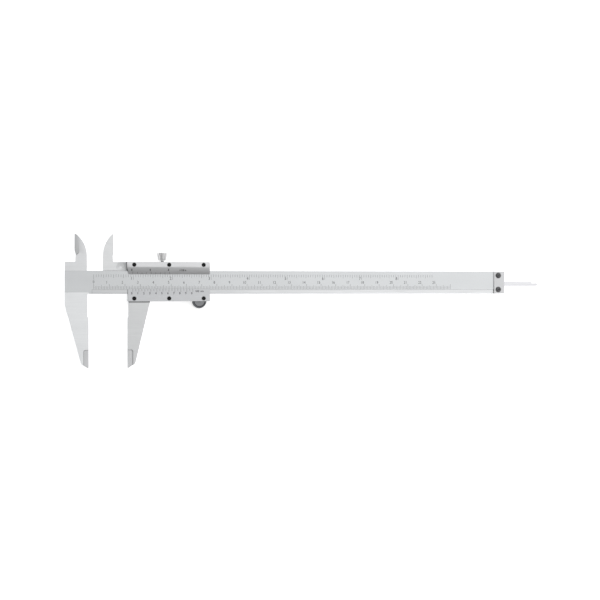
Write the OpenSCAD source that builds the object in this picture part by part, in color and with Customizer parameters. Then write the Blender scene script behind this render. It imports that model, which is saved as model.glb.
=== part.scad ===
// Vernier caliper, 200 mm / 8 in, with outer jaws, inner jaws and a depth rod.
// It lies on its back: +X runs along the beam, +Y points from the outer jaws to the
// inner jaws, and +Z points out of the graduated face. Inside this file every piece is
// drawn from the corner where the fixed measuring face's plane meets the beam's lower
// edge, half way through the thickness. from_face() then moves the origin to the
// centre of the fixed measuring face.

/* [Opening] */
// Distance between the outer measuring faces at rest
jaw_opening = 25; // [1:0.5:200]

/* [Beam] */
// Length of the beam to the right of the fixed measuring face
beam_len = 281.5; // [270:0.5:340]
// Height of the beam between its two guide edges
beam_h = 15; // [12.5:0.5:18]
// Thickness of the jaws and the head
beam_t = 3.5; // [3.3:0.1:4.5]
// Width of the fixed head to the left of the measuring face
head_w = 15.2; // [12.7:0.1:18.5]
// Height of the head, the arm and the slider above the beam
head_rise = 5.8; // [5.2:0.1:7]
// Distance from the measuring face back to the fixed inner jaw's straight side
head_back = 1.1; // [0.8:0.1:2]
// How far the graduated face lies below the faces of the jaws
band_d = 0.12; // [0.05:0.01:0.25]
// Height of the outer jaw's face that runs up over the beam at the head
band_low = 1; // [0.5:0.1:2]
// Height of the ground strip along the beam's lower edge
strip_h = 2.8; // [2:0.1:4]
// Depth of the ground strip below the graduated face
strip_d = 0.15; // [0.05:0.05:0.3]
// Distance from the fixed measuring face to the start of the ground strip
strip_start = 2; // [1:0.5:6]

/* [Outer jaws] */
// Depth of the outer jaws below the beam
outer_len = 48.3; // [40:0.1:60]
// Depth of the fixed outer jaw's full-width root
outer_root = 7.2; // [4:0.1:12]
// Width of the sliding outer jaw at the slider's lower edge
slide_jaw_w = 14.5; // [12:0.1:18]
// Width of both outer jaws where the pointed tip starts
shoulder_w = 5.2; // [4.6:0.1:6.5]
// Height of the pointed tip
shoulder_h = 4.5; // [4:0.1:6]
// Width of the blunt corner on the pointed tip
corner_w = 4.5; // [3.5:0.1:4.5]
// Height of the blunt corner above the tip
corner_h = 2.9; // [2:0.1:3.4]
// Depth of the relief at the top of the fixed measuring face
fixed_relief = 0.75; // [0.3:0.05:1]
// Depth of the relief at the top of the sliding measuring face
slide_relief = 0.5; // [0.3:0.05:1]
// Distance from the beam's lower edge to the top of the measuring faces
relief_h = 16; // [12:0.1:20]
// Length of the slope that leads into each relief
relief_slope = 1.6; // [0.5:0.1:2.5]
// Width of the thinned part of the measuring tips
thin_w = 3.4; // [2:0.1:4]
// Height of the thinned part of the measuring tips
thin_h = 12.2; // [8:0.1:16]
// Thickness left at the measuring tips
thin_t = 1.9; // [1.2:0.1:2.6]
// Corner radius of the thinned part
thin_r = 1.3; // [0.5:0.1:2]

/* [Inner jaws] */
// Height of the inner jaws above the beam
inner_rise = 24; // [20:0.5:30]
// Distance from the outer measuring faces back to the inner measuring edges
inner_edge = 9; // [8:0.1:10]
// Width of the sliding inner jaw at its root
inner_slide_w = 6.8; // [6:0.1:8]
// Height above the beam at which the backs of the inner jaws start to curve
inner_curve = 9.5; // [8:0.1:12]
// Width of the flat at the inner jaws' tips
inner_tip = 0.5; // [0.3:0.1:1]
// Height above the beam at which the fixed inner measuring edge starts
fixed_land_y = 13; // [12:0.1:15]
// Depth of the relief under the fixed inner measuring edge
fixed_land_relief = 0.8; // [0.3:0.1:1.2]
// Height above the beam at which the sliding inner measuring edge starts
slide_land_y = 11; // [10:0.1:14]
// Depth of the relief under the sliding inner measuring edge
slide_land_relief = 0.45; // [0.3:0.05:1.2]
// Thickness of the inner measuring edges
inner_land = 0.35; // [0.2:0.05:0.6]
// Width of the ground bevel behind each inner measuring edge
inner_bevel = 3; // [2:0.1:4]
// Gap between the two inner jaws where they pass each other
parting = 0.12; // [0.08:0.02:0.3]

/* [Slider] */
// Length of the slider along the beam
slider_len = 53.4; // [50:0.1:70]
// Height of the rail below the beam
low_rail_h = 4.85; // [4.4:0.05:6]
// Thickness of the wall behind the beam
back_wall = 1.6; // [1.4:0.1:2.5]
// Clearance between the beam's edges and what guides them
edge_clear = 0.05; // [0.02:0.01:0.1]
// Clearance in front of and behind the beam
face_clear = 0.1; // [0.05:0.01:0.2]
// Radius of the dished cutter run-out on the arm
dish_r = 3.7; // [2.5:0.1:3.9]
// Depth of the cutter run-out
dish_d = 0.6; // [0.2:0.1:0.9]
// Distance of the run-out's centre to the left of the slider's end
dish_x = 3.9; // [3.9:0.1:5]
// Height of the run-out's centre above the beam
dish_y = 2.3; // [1.5:0.1:3]

/* [Vernier plates] */
// Thickness of both vernier plates
plate_t = 1.4; // [1:0.1:2]
// How far the inch vernier plate laps over the beam
upper_lap = 2.2; // [1.5:0.1:3]
// How far the metric vernier plate laps over the beam
lower_lap = 3.2; // [2:0.1:4]
// Width of the flat band on the inch vernier plate
upper_flat = 3.6; // [3.3:0.1:5]
// Width of the flat band on the metric vernier plate
lower_flat = 3.6; // [3.3:0.1:4]
// Thickness of both plates at their graduated edge
plate_edge = 0.25; // [0.15:0.05:0.4]
// How far the inch vernier plate reaches past the slider's left end
upper_lead = 0.6; // [0:0.1:1]
// Length of the slanted left corner on the inch vernier plate's bevel
corner_cut = 1.2; // [0.5:0.1:2]

/* [Gib and screws] */
// Thickness of the gib strip
gib_t = 0.55; // [0.4:0.05:0.8]
// Distance that the gib strip stops short of each end of the slider
gib_inset = 1; // [0.5:0.1:3]
// Diameter of the gib's set screws
set_d = 2.5; // [2:0.1:3]
// How far the set screws sit below the slider's upper edge
set_sink = 0.5; // [0.2:0.1:1]
// Distance from the slider's left end to the left set screw
set_left = 13; // [9:0.1:16]
// Distance from the slider's right end to the right set screw
set_right = 13.4; // [9:0.1:16]
// Diameter of the lock screw's shank
lock_d = 2.5; // [2:0.1:3]
// Distance from the slider's left end to the lock screw
lock_x = 22.5; // [20.5:0.1:22.8]
// Diameter of the lock screw's head at its top
lock_head_d = 6.7; // [5.5:0.1:8]
// Diameter of the lock screw's head at its foot
lock_foot_d = 5.4; // [4:0.1:5.4]
// Height of the lock screw's head
lock_head_h = 5.2; // [4:0.1:7]
// Length of the neck between the slider and the lock screw's head
lock_neck = 0.9; // [0.6:0.1:2]
// Gap between the loosened lock screw and the gib
lock_gap = 0.25; // [0.1:0.05:0.4]
// Head diameter of the vernier plates' screws
plate_head_d = 2.5; // [2.2:0.1:3]
// Head height of the vernier plates' screws
plate_head_h = 0.5; // [0.3:0.1:0.8]
// Shank diameter of the vernier plates' screws
plate_screw_d = 1.6; // [1.2:0.1:1.8]
// Distance from each end of the slider to its nearest plate screw
plate_screw_x = 4.1; // [3:0.1:5]
// Distance from the slider's long edges to the plate screws
plate_screw_y = 1.9; // [1.7:0.1:2]
// Radial clearance of a screw, pin or rivet in its thread or seat
seat_clear = 0.03; // [0.01:0.01:0.05]
// Radial clearance of a screw in a through hole
hole_clear = 0.1; // [0.05:0.05:0.2]

/* [Thumb roller] */
// Radius of the thumb roller
roller_r = 4.75; // [3.95:0.05:5.5]
// Width of the thumb roller
roller_w = 2.6; // [2:0.1:2.8]
// Distance from the slider's right end to the roller's axis
roller_x = 6.6; // [6.6:0.1:8]
// Diameter of the roller's pin
pin_d = 1.5; // [1.2:0.1:2]
// Radial clearance of the roller on its pin
pin_clear = 0.05; // [0.02:0.01:0.1]
// Thickness of the roller bracket's sheet
bracket_t = 0.4; // [0.3:0.05:0.5]
// Radius of the bracket's round ears
ear_r = 3.3; // [2.5:0.1:3.6]
// Gap beside the roller, and between the bracket and its pocket
side_gap = 0.1; // [0.05:0.01:0.15]
// Length of the bracket's strap under the slider
strap_len = 7.4; // [6.5:0.1:9]
// Thickness of the rail left in front of the roller
web_t = 1; // [0.9:0.05:1.2]
// Head diameter of the bracket's screw
strap_head_d = 2.6; // [2:0.1:2.8]
// Head height of the bracket's screw
strap_head_h = 0.55; // [0.4:0.05:0.7]

/* [Depth rod] */
// Width of the depth rod
rod_w = 3; // [2:0.1:3.4]
// Thickness of the depth rod
rod_t = 1.2; // [0.8:0.1:1.3]
// Height of the depth rod's axis above the beam's lower edge
rod_y = 6.7; // [6:0.1:7.2]
// Distance from the slider's left end to the depth rod's fixed end
rod_start = 4; // [4:0.1:8]
// Length of the rod's thicker foot that is riveted to the slider
foot_len = 12; // [9:0.5:20]
// Clearance beside and over the rod in its groove
rod_clear = 0.15; // [0.1:0.05:0.3]
// Length of the stepped tip of the rod
rod_tip_len = 4.3; // [3:0.1:8]
// Depth of the step at the rod's tip
rod_tip_cut = 1.2; // [0.5:0.1:1.5]
// Diameter of the rod's rivets
rivet_d = 1.5; // [1.2:0.1:1.8]
// Head diameter of the rod's rivets
rivet_head_d = 2.6; // [2.2:0.1:3]
// Distance from each end of the foot to its rivet
rivet_inset = 3; // [2:0.1:4]

/* [End stop] */
// Width of the end stop plate along the beam
stop_w = 7.3; // [6:0.1:10]
// Thickness of the end stop plate
stop_t = 0.8; // [0.6:0.1:1.4]
// Thickness of the keeper plate behind the beam
keeper_t = 0.6; // [0.4:0.1:1]
// Distance from the plates' left edge to their screws
stop_screw_x = 3; // [2.4:0.1:4]
// Distance from the beam's edges to the end stop's screws
stop_screw_y = 2.7; // [2.3:0.1:2.9]
// Shank diameter of the end stop's screws
stop_screw_d = 2; // [1.6:0.1:2.2]
// Head diameter of the end stop's screws
stop_head_d = 3.5; // [3:0.1:4]
// Head height of the end stop's screws
stop_head_h = 0.8; // [0.5:0.1:1.2]

/* [Hidden] */
$fn = 96;
half_t = beam_t / 2;
band_z = half_t - band_d;                       // the graduated face
head_y = beam_h + head_rise;                    // top of the head and the slider
face_y = -(relief_h + outer_len) / 2;           // middle of the measuring faces
rail_front = half_t + face_clear;               // front of the slider's rails
wall_front = -half_t - face_clear;              // front of the slider's back wall
wall_back = wall_front - back_wall;             // back of the slider
gib_low = beam_h + edge_clear;                  // lower side of the gib
rail_low = gib_low + gib_t + edge_clear;        // lower side of the upper rail
plate_front = rail_front + plate_t;             // front of the vernier plates
arm_len = inner_edge + inner_slide_w;           // reach of the arm to the left
plate_shank = plate_t + web_t - 0.15;           // plate screws stop short of the pocket
plate_xs = [plate_screw_x, slider_len / 2, slider_len - plate_screw_x];
plate_ys = [-low_rail_h + plate_screw_y, head_y - plate_screw_y];
set_xs = [set_left, slider_len - set_right];
set_dimple = 0.2;                               // depth of the gib's dimples
lock_low = gib_low + gib_t + lock_gap;          // end of the lock screw
roller_axis_x = slider_len - roller_x;
roller_axis_y = -edge_clear - roller_r;         // the rim runs just under the beam
pocket_front = rail_front - web_t;              // pocket of the roller and its bracket
ear_front = pocket_front - side_gap / 2;
roller_front = ear_front - bracket_t - side_gap;
roller_back = roller_front - roller_w;
ear_back = roller_back - side_gap - bracket_t;
pocket_back = ear_back - side_gap / 2;
pocket_right = roller_axis_x + roller_r + 0.65;
strap_end = roller_axis_x - roller_r - 0.35;    // the strap stops short of the roller
strap_start = strap_end - strap_len;
strap_low = -low_rail_h + strap_head_h + 0.3;   // keeps the screw head inside the rail
strap_top = strap_low + bracket_t;
strap_screw_x = strap_start + 2.6;
strap_screw_top = -0.9;                         // end of the strap's screw in the rail
link_h = 1.5;                                   // height of the links between strap and ears
rod_mid_z = -half_t + rod_clear + rod_t / 2;    // the rod lies inside its groove
rod_front = rod_mid_z + rod_t / 2;
rivet_xs = [rod_start + rivet_inset, rod_start + foot_len - rivet_inset];
rivet_head_t = (rivet_head_d - rivet_d) / 2;
stop_x = beam_len - stop_w;
stop_front = band_z + stop_t;
keeper_back = -half_t - keeper_t;
stop_screw_ys = [stop_screw_y, beam_h - stop_screw_y];
over = 1;                                       // how far cutting shapes overshoot

// ---------- placing ----------

// Moves the origin to the middle of the fixed measuring face.
module from_face() {
    translate([0, -face_y, 0]) children();
}

// Places what belongs to the slider at the rest opening.
module on_slider() {
    from_face() translate([jaw_opening, 0, 0]) children();
}

// A box between pairs of limits along X, Y and Z.
module block(x, y, z) {
    translate([x[0], y[0], z[0]])
        cube([x[1] - x[0], y[1] - y[0], z[1] - z[0]]);
}

// A profile drawn in Y and Z, carried along X.
module along_x(x0, x1) {
    translate([x0, 0, 0]) rotate([90, 0, 90]) linear_extrude(height = x1 - x0) children();
}

// A screw whose head sits on Z = 0 and whose shank points down.
module slotted_screw(head_d, head_h, shank_d, shank_len) {
    slot_w = head_d * 0.16;
    difference() {
        union() {
            cylinder(d = head_d, h = head_h * 0.6);
            translate([0, 0, head_h * 0.6])
                cylinder(d1 = head_d, d2 = head_d * 0.72, h = head_h * 0.4);
            translate([0, 0, -shank_len]) cylinder(d = shank_d, h = shank_len + head_h / 2);
        }
        translate([-head_d, -slot_w / 2, head_h * 0.5]) cube([head_d * 2, slot_w, head_h]);
    }
}

// ---------- shared jaw shapes ----------

// Outline of an outer jaw: measuring face on x = 0, body towards +x, tip at -outer_len.
module outer_outline(root_w, root_y, top_y, relief) {
    polygon([
        [0, -outer_len], [corner_w, corner_h - outer_len], [shoulder_w, shoulder_h - outer_len],
        [root_w, root_y], [root_w, top_y], [relief, top_y],
        [relief, relief_slope - relief_h], [0, -relief_h]
    ]);
}

// The thinned measuring tip, cut from both sides of an outer jaw.
module thin_tip_cut() {
    for (side = [0, 1]) mirror([0, 0, side]) translate([0, 0, thin_t / 2])
        linear_extrude(height = half_t) {
            translate([-over, -outer_len - over]) square([thin_w + over, thin_h + over - thin_r]);
            translate([-over, -outer_len - over]) square([thin_w - thin_r + over, thin_h + over]);
            translate([thin_w - thin_r, thin_h - outer_len - thin_r]) circle(thin_r);
        }
}

// Outline of an inner jaw: measuring edge on x = 0, back at x = w, root on the beam.
module inner_outline(w, land_y, relief) {
    fall = w - inner_tip;
    climb = inner_rise - inner_curve;
    back_r = (climb * climb + fall * fall) / (2 * fall);
    intersection() {
        polygon([
            [0, inner_rise], [0, land_y], [relief, land_y - 3 * relief],
            [relief * 0.7, head_rise], [relief * 0.7, 0], [w, 0], [w, inner_rise]
        ]);
        union() {
            translate([w - back_r, inner_curve]) circle(back_r);
            translate([-over, -over]) square([w + 2 * over, inner_curve + over]);
        }
    }
}

// The ground bevel behind an inner measuring edge, with a round run-out at its foot.
module knife_cut(land_y) {
    rise = half_t - parting / 2 - inner_land;
    tilt = atan(rise / inner_bevel);
    scoop_r = inner_bevel * 0.55;
    translate([0, land_y - 1, parting / 2 + inner_land]) rotate([0, -tilt, 0])
        linear_extrude(height = beam_t) {
            translate([-over, 0]) square([inner_bevel * 1.2 + over, inner_rise]);
            translate([scoop_r * 0.9, 0]) circle(scoop_r);
        }
}

// An inner jaw, in the front half of the thickness.
module inner_jaw(w, land_y, relief) {
    difference() {
        translate([0, 0, parting / 2])
            linear_extrude(height = half_t - parting / 2) inner_outline(w, land_y, relief);
        knife_cut(land_y);
    }
}

// ---------- beam ----------

module fixed_outer_jaw() {
    mirror([1, 0, 0]) difference() {
        translate([0, 0, -half_t]) linear_extrude(height = beam_t)
            outer_outline(head_w, -outer_root, beam_h / 2, fixed_relief);
        thin_tip_cut();
    }
}

module fixed_inner_jaw() {
    translate([-inner_edge, beam_h, 0])
        inner_jaw(inner_edge - head_back, fixed_land_y, fixed_land_relief);
}

module rod_groove() {
    half_w = rod_w / 2 + rod_clear;
    block([rod_start - over, beam_len + over], [rod_y - half_w, rod_y + half_w],
        [-half_t - over, rod_front + rod_clear]);
}

module main_beam() {
    color([0.80, 0.81, 0.82]) from_face() difference() {
        union() {
            block([-head_w, beam_len], [0, beam_h], [-half_t, half_t]);
            block([-head_w, -head_back], [beam_h, head_y], [parting / 2, half_t]);
            fixed_inner_jaw();
            fixed_outer_jaw();
        }
        block([-head_w - over, beam_len + over], [band_low, beam_h], [band_z, half_t + over]);
        block([0, beam_len + over], [-over, band_low + over], [band_z, half_t + over]);
        block([strip_start, stop_x], [-over, strip_h], [band_z - strip_d, half_t + over]);
        rod_groove();
        for (y = stop_screw_ys) translate([stop_x + stop_screw_x, y, -beam_t])
            cylinder(r = stop_screw_d / 2 + hole_clear, h = 2 * beam_t);
    }
}

module end_stop_plate() {
    color([0.74, 0.75, 0.76]) from_face() difference() {
        block([stop_x, beam_len], [0, beam_h], [band_z, stop_front]);
        for (y = stop_screw_ys) translate([stop_x + stop_screw_x, y, 0])
            cylinder(r = stop_screw_d / 2 + hole_clear, h = beam_t);
    }
}

module rod_keeper_plate() {
    color([0.74, 0.75, 0.76]) from_face() difference() {
        block([stop_x, beam_len], [0, beam_h], [keeper_back, -half_t]);
        for (y = stop_screw_ys) translate([stop_x + stop_screw_x, y, -beam_t])
            cylinder(r = stop_screw_d / 2 + seat_clear, h = beam_t);
    }
}

module end_stop_screws() {
    color([0.1, 0.1, 0.1]) from_face() for (y = stop_screw_ys)
        translate([stop_x + stop_screw_x, y, stop_front]) rotate([0, 0, 30])
            slotted_screw(stop_head_d, stop_head_h, stop_screw_d, stop_front - keeper_back);
}

// ---------- slider ----------

module slider_arm() {
    difference() {
        union() {
            block([-arm_len, 0], [gib_low, head_y], [-half_t, -parting / 2]);
            block([-over, over], [rail_low, head_y], [-half_t, -parting / 2]);
        }
        arm_dish();
    }
}

// Dished run-out of the cutter that thins the arm.
module arm_dish() {
    ball_r = (dish_r * dish_r + dish_d * dish_d) / (2 * dish_d);
    translate([-dish_x, beam_h + dish_y, ball_r - dish_d - parting / 2]) sphere(ball_r);
}

module sliding_outer_jaw() {
    difference() {
        translate([0, 0, -half_t]) linear_extrude(height = beam_t)
            outer_outline(slide_jaw_w, -low_rail_h, -low_rail_h / 2, slide_relief);
        thin_tip_cut();
    }
}

module sliding_inner_jaw() {
    translate([-inner_edge, beam_h, 0]) mirror([1, 0, 0]) mirror([0, 0, 1]) difference() {
        inner_jaw(inner_slide_w, slide_land_y, slide_land_relief);
        translate([-over, -over, 0]) cube([inner_slide_w + 2 * over, over + edge_clear, beam_t]);
    }
}

// The pocket in the lower rail that holds the roller and its bracket.
module roller_pocket() {
    z = [pocket_back, pocket_front];
    left = strap_end - link_h - side_gap;
    block([left, pocket_right], [-low_rail_h - over, over], z);
    block([strap_start - side_gap, left + over], [-low_rail_h - over, strap_top], z);
    translate([strap_screw_x, strap_low, (pocket_front + pocket_back) / 2]) rotate([-90, 0, 0])
        cylinder(r = plate_screw_d / 2 + seat_clear, h = strap_screw_top + 0.2 - strap_low);
}

module slider_holes() {
    for (x = plate_xs, y = plate_ys) translate([x, y, plate_front - plate_shank - plate_t])
        cylinder(r = plate_screw_d / 2 + seat_clear, h = beam_t);
    for (x = set_xs) translate([x, beam_h, 0]) rotate([-90, 0, 0])
        cylinder(r = set_d / 2 + seat_clear, h = head_rise + over);
    translate([lock_x, beam_h, 0]) rotate([-90, 0, 0])
        cylinder(r = lock_d / 2 + pin_clear, h = head_rise + over);
    for (x = rivet_xs) translate([x, rod_y, wall_back - over])
        cylinder(r = rivet_d / 2 + seat_clear, h = back_wall + 2 * over);
    for (x = rivet_xs) translate([x, rod_y, wall_back])
        cylinder(r1 = rivet_head_d / 2 + seat_clear, r2 = rivet_d / 2 + seat_clear,
            h = rivet_head_t);
}

module slider_frame() {
    color([0.82, 0.83, 0.84]) on_slider() {
        difference() {
            union() {
                block([0, slider_len], [-low_rail_h, head_y], [wall_back, wall_front]);
                block([0, slider_len], [-low_rail_h, -edge_clear], [wall_back, rail_front]);
                block([0, slider_len], [rail_low, head_y], [wall_back, rail_front]);
                slider_arm();
                sliding_outer_jaw();
                sliding_inner_jaw();
            }
            roller_pocket();
            slider_holes();
        }
    }
}

// Holes for one row of vernier plate screws.
module plate_holes(y) {
    for (x = plate_xs) translate([x, y, 0])
        cylinder(r = plate_screw_d / 2 + hole_clear, h = 2 * plate_front);
}

module inch_vernier_plate() {
    low = beam_h - upper_lap;
    color([0.70, 0.71, 0.72]) on_slider() difference() {
        along_x(-upper_lead, slider_len) polygon([
            [low, rail_front], [head_y, rail_front], [head_y, plate_front],
            [head_y - upper_flat, plate_front], [low, rail_front + plate_edge]
        ]);
        plate_holes(plate_ys[1]);
        linear_extrude(height = 2 * plate_front) polygon([
            [-upper_lead - over, low - over], [corner_cut, low - over],
            [corner_cut - upper_lead, low], [-upper_lead, head_y - upper_flat],
            [-upper_lead - over, head_y - upper_flat]
        ]);
    }
}

module metric_vernier_plate() {
    color([0.76, 0.77, 0.78]) on_slider() difference() {
        along_x(0, slider_len) polygon([
            [-low_rail_h, rail_front], [lower_lap, rail_front],
            [lower_lap, rail_front + plate_edge],
            [lower_flat - low_rail_h, plate_front], [-low_rail_h, plate_front]
        ]);
        plate_holes(plate_ys[0]);
    }
}

module vernier_plate_screws() {
    color([0.06, 0.06, 0.06]) on_slider() for (x = plate_xs, y = plate_ys)
        translate([x, y, plate_front]) rotate([0, 0, 20 + 37 * x])
            slotted_screw(plate_head_d, plate_head_h, plate_screw_d, plate_shank);
}

// ---------- gib and lock ----------

module gib_strip() {
    color([0.72, 0.55, 0.32]) on_slider() difference() {
        block([gib_inset, slider_len - gib_inset], [gib_low, gib_low + gib_t],
            [-half_t + face_clear, half_t - face_clear]);
        for (x = set_xs) translate([x, gib_low + gib_t - set_dimple, 0]) rotate([-90, 0, 0])
            cylinder(r = set_d / 4 + seat_clear, h = gib_t);
    }
}

// One set screw: a driver slot at the top and a dog point that sits in the gib's dimple.
module set_screw() {
    low = gib_low + gib_t - set_dimple;
    top = head_y - set_sink;
    collar = rail_low + edge_clear;
    rotate([-90, 0, 0]) difference() {
        union() {
            translate([0, 0, low]) cylinder(r = set_d / 4, h = top - low);
            translate([0, 0, collar]) cylinder(d = set_d, h = top - collar);
        }
        translate([-set_d, -set_d * 0.1, top - set_d / 4]) cube([set_d * 2, set_d * 0.2, set_d]);
    }
}

module gib_set_screws() {
    color([0.25, 0.25, 0.26]) on_slider() for (x = set_xs) translate([x, 0, 0]) set_screw();
}

module lock_screw() {
    chamfer = 0.4;
    color([0.86, 0.86, 0.87]) on_slider() translate([lock_x, 0, 0]) rotate([-90, 0, 0]) {
        translate([0, 0, lock_low]) cylinder(d = lock_d, h = head_y + lock_neck - lock_low + over);
        translate([0, 0, head_y + lock_neck]) {
            cylinder(d1 = lock_foot_d, d2 = lock_head_d, h = lock_head_h - chamfer);
            translate([0, 0, lock_head_h - chamfer])
                cylinder(d1 = lock_head_d, d2 = lock_head_d - 2 * chamfer, h = chamfer);
        }
    }
}

// ---------- thumb roller ----------

module thumb_roller() {
    chamfer = 0.3;
    bore_r = pin_d / 2 + pin_clear;
    color([0.35, 0.36, 0.37]) on_slider()
        translate([roller_axis_x, roller_axis_y, roller_back]) rotate_extrude() polygon([
            [bore_r, 0], [roller_r - chamfer, 0], [roller_r, chamfer],
            [roller_r, roller_w - chamfer], [roller_r - chamfer, roller_w], [bore_r, roller_w]
        ]);
}

module roller_pin() {
    color([0.65, 0.66, 0.67]) on_slider()
        translate([roller_axis_x, roller_axis_y, ear_back])
            cylinder(d = pin_d, h = ear_front - ear_back);
}

// One ear of the bracket, drawn in X and Y.
module bracket_ear() {
    difference() {
        union() {
            translate([roller_axis_x, roller_axis_y]) circle(ear_r);
            translate([strap_end - link_h, strap_low])
                square([roller_axis_x - strap_end + link_h, link_h]);
        }
        translate([roller_axis_x, roller_axis_y]) circle(pin_d / 2 + seat_clear);
    }
}

module roller_bracket() {
    mid_z = (ear_front + ear_back) / 2;
    color([0.55, 0.56, 0.57]) on_slider() difference() {
        union() {
            block([strap_start, strap_end], [strap_low, strap_top], [ear_back, ear_front]);
            translate([0, 0, ear_back]) linear_extrude(height = bracket_t) bracket_ear();
            translate([0, 0, ear_front - bracket_t])
                linear_extrude(height = bracket_t) bracket_ear();
        }
        translate([strap_screw_x, strap_low - over, mid_z]) rotate([-90, 0, 0])
            cylinder(r = plate_screw_d / 2 + hole_clear, h = bracket_t + 2 * over);
    }
}

module roller_bracket_screw() {
    mid_z = (ear_front + ear_back) / 2;
    color([0.12, 0.12, 0.12]) on_slider()
        translate([strap_screw_x, strap_low, mid_z]) rotate([90, 0, 0])
            slotted_screw(strap_head_d, strap_head_h, plate_screw_d,
                strap_screw_top - strap_low);
}

// ---------- depth rod ----------

module depth_rod() {
    half_w = rod_w / 2;
    tip_x = beam_len - rod_tip_len;
    color([0.88, 0.88, 0.89]) on_slider() difference() {
        union() {
            block([rod_start, beam_len], [rod_y - half_w, rod_y + half_w],
                [rod_front - rod_t, rod_front]);
            block([rod_start, rod_start + foot_len], [rod_y - half_w, rod_y + half_w],
                [wall_front, rod_front]);
        }
        block([tip_x, beam_len + over], [rod_y + half_w - rod_tip_cut, rod_y + rod_w],
            [-beam_t, beam_t]);
        for (x = rivet_xs) translate([x, rod_y, -beam_t])
            cylinder(r = rivet_d / 2 + seat_clear, h = 2 * beam_t);
    }
}

module depth_rod_rivets() {
    color([0.70, 0.71, 0.72]) on_slider() for (x = rivet_xs) translate([x, rod_y, wall_back]) {
        cylinder(d = rivet_d, h = rod_front - wall_back);
        cylinder(d1 = rivet_head_d, d2 = rivet_d, h = rivet_head_t);
    }
}

main_beam();
end_stop_plate();
rod_keeper_plate();
end_stop_screws();
slider_frame();
inch_vernier_plate();
metric_vernier_plate();
vernier_plate_screws();
gib_strip();
gib_set_screws();
lock_screw();
thumb_roller();
roller_pin();
roller_bracket();
roller_bracket_screw();
depth_rod();
depth_rod_rivets();
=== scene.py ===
"""Looks of a 200 mm / 8 in vernier caliper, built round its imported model.

Every length in the classes is in millimetres unless its name says otherwise. Places
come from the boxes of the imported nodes, so the visual pieces sit where the model has
its solids.
"""

from __future__ import annotations

import logging
import math
from collections.abc import Iterable
from dataclasses import dataclass, field, replace
from enum import Enum, IntEnum
from functools import cache

import bmesh
import bpy
from mathutils import Matrix, Vector


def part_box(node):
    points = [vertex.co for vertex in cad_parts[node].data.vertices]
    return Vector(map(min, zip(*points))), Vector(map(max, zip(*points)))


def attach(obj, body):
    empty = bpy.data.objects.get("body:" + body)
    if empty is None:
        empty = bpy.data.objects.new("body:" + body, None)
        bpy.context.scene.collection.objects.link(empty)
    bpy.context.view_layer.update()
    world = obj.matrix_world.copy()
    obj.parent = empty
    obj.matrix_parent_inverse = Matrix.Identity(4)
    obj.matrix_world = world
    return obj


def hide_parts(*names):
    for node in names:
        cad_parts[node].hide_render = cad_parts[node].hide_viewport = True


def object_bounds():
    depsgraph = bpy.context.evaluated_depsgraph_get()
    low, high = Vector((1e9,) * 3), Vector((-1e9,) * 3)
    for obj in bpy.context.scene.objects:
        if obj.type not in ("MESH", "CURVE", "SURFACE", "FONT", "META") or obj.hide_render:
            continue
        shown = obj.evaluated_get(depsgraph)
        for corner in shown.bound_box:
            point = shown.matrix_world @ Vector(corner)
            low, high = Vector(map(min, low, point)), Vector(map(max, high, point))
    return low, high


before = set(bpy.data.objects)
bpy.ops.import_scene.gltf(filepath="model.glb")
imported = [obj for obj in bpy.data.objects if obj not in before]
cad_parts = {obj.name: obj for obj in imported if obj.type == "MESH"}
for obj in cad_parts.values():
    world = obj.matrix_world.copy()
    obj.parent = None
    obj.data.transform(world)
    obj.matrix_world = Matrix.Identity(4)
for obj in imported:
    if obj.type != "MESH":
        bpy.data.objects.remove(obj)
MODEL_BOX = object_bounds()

LOG = logging.getLogger("caliper")
MM = 0.001
INCH = 25.4

WELD = 1e-7  # vertices closer than this, in metres, become one
SQUARE = 0.99  # least part of a normal along an axis, for a face that lies square to it
LEVEL_SLACK = 0.02  # how far off its level a face may lie, in millimetres

Colour = tuple[float, float, float]
Span = tuple[float, float]
Ramp = tuple[Span, Span]  # a range of directions, and what it does to the room's light
Mesh = bmesh.types.BMesh
Face = bmesh.types.BMFace
Edge = bmesh.types.BMEdge
Vert = bmesh.types.BMVert
Socket = bpy.types.NodeSocket


# ---------- shader nodes ----------


class Grain(Enum):
    """Direction of the grinding lines, as the pattern's frequency along each axis."""

    ALONG_X = (110.0, 7000.0, 7000.0)
    ALONG_Y = (7000.0, 110.0, 7000.0)
    ALONG_Z = (7000.0, 7000.0, 110.0)
    MATT = (5200.0, 5200.0, 5200.0)


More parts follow.
